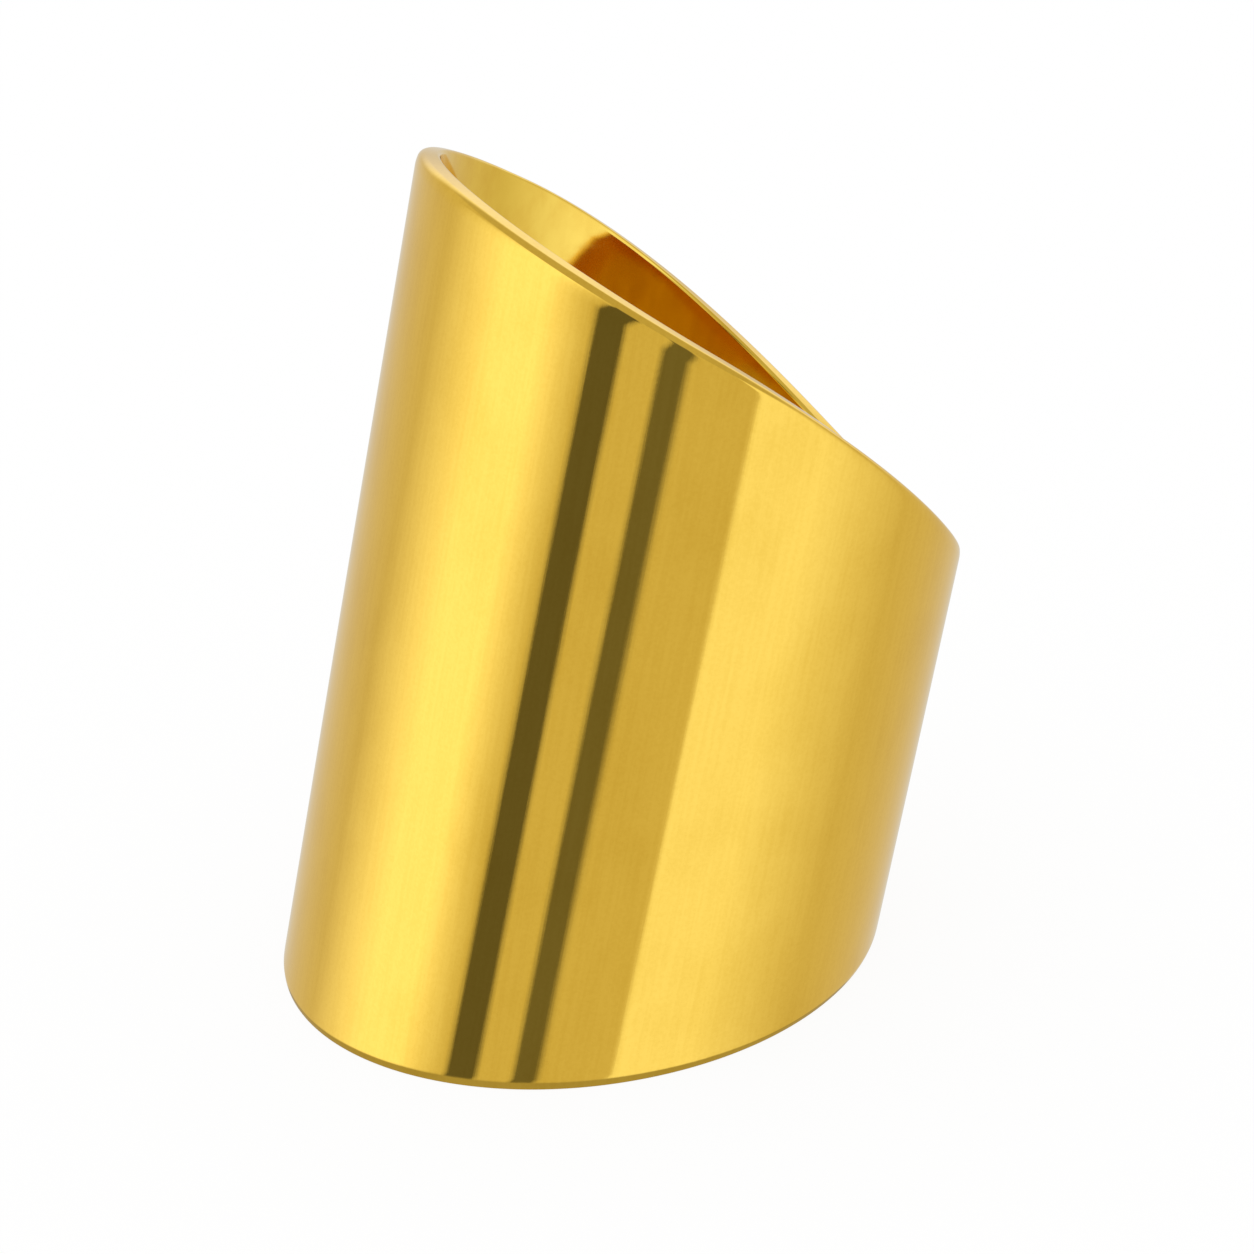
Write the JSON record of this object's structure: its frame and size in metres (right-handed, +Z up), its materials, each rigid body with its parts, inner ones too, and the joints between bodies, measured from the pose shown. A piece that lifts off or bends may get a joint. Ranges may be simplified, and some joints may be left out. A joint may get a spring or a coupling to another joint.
{
  "type": "guitar slide",
  "caption": "Thin-walled polished brass ring slide, open at both ends, with a flat slanted base and a rim that slopes from a tall side to a short side.",
  "frame": {"origin": "where the axis of the tube crosses the flat base, at the centre of the base opening", "axes": "+Z up from the base; the tube leans 15.5 degrees from +Z towards +X, which is its short side; XZ is the plane of symmetry"},
  "size_m": [0.0265, 0.022, 0.0312],
  "materials": {
    "brass": "machined and polished all over, uncoated, with soft polishing haze"
  },
  "bodies": {
    "root": {"slide_tube": "brass"}
  },
  "joints": []
}
